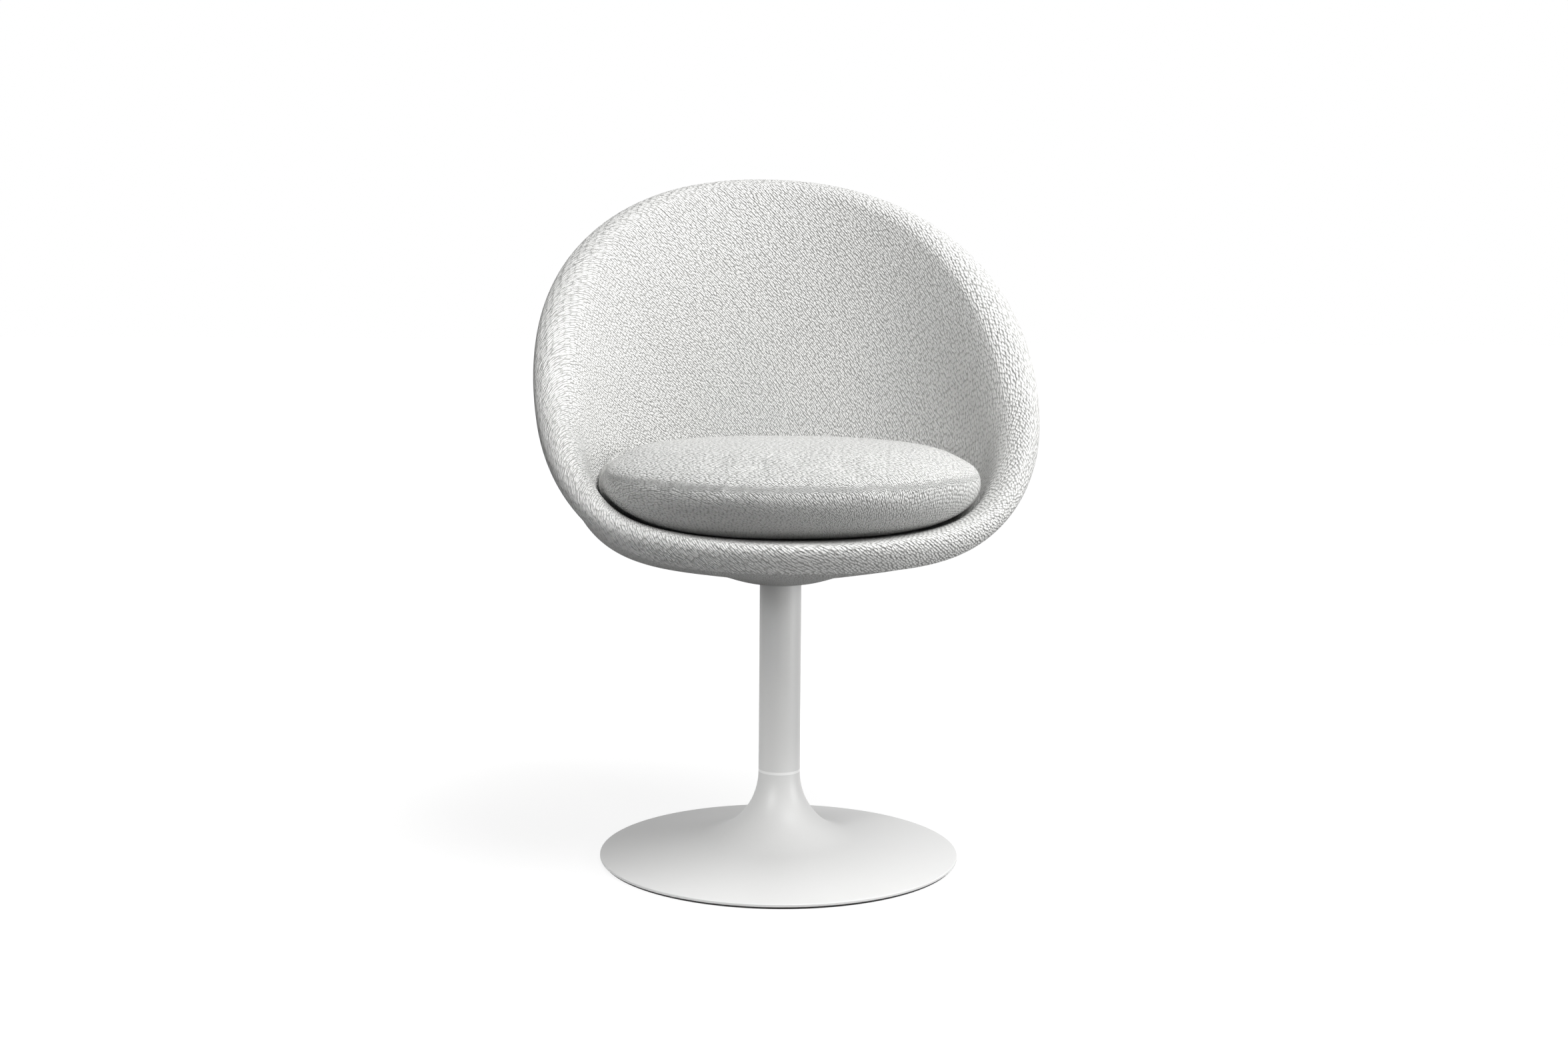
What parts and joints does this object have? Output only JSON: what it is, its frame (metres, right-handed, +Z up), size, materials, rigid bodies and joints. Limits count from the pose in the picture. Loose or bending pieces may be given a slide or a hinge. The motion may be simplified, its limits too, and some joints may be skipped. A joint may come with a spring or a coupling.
{
  "type": "swivel chair",
  "caption": "Low-backed upholstered pod chair with a rolled rim and a loose seat cushion, turning on a slim column with a round trumpet foot",
  "frame": {"origin": "on the floor, under the swivel axis, at the middle of the floor pad's underside", "axes": "+Z up along the swivel axis, -Y to the front of the chair as it is pictured, X across it"},
  "size_m": [0.5824, 0.5651, 0.8261],
  "materials": {
    "felt": "black felt",
    "white_enamel": "satin white powder coat",
    "cast_iron": "raw casting",
    "steel": "zinc plated",
    "black_steel": "black powder coat",
    "white_plastic": "satin moulded",
    "bearing_plastic": "turned nylon",
    "moulded_shell": "moulded",
    "foam": "polyurethane foam",
    "boucle": "coarse off-white boucle weave"
  },
  "bodies": {
    "foot": {"floor_pad": "felt", "base_trumpet": "white_enamel", "ballast_disc": "cast_iron", "tie_sleeve": "steel", "tie_bolt": "steel", "tie_washer": "steel", "neck_ring": "white_plastic", "column_tube": "white_enamel", "column_plug": "steel", "lower_bush": "bearing_plastic", "upper_bush": "bearing_plastic", "thrust_washer": "bearing_plastic"},
    "pod": {"spindle": "steel", "circlip": "steel", "seat_plate": "black_steel", "plate_bolts": "steel", "plate_washers": "steel", "tee_nuts": "steel", "shell_core": "moulded_shell", "shell_foam": "foam", "back_wadding": "foam", "swivel_cone": "moulded_shell", "cover_front": "boucle", "cover_back": "boucle"},
    "cushion": {"cushion_foam": "foam", "cushion_cover_top": "boucle", "cushion_cover_bottom": "boucle"}
  },
  "joints": [
    {"name": "swivel", "type": "hinge", "parent": "foot", "child": "pod", "pos_m": [0, 0, 0.358], "axis": [0, 0, 1], "continuous": true},
    {"name": "cushion_lift", "type": "slide", "parent": "pod", "child": "cushion", "axis": [0, 0, 1], "range_m": [0, 0.3]}
  ]
}
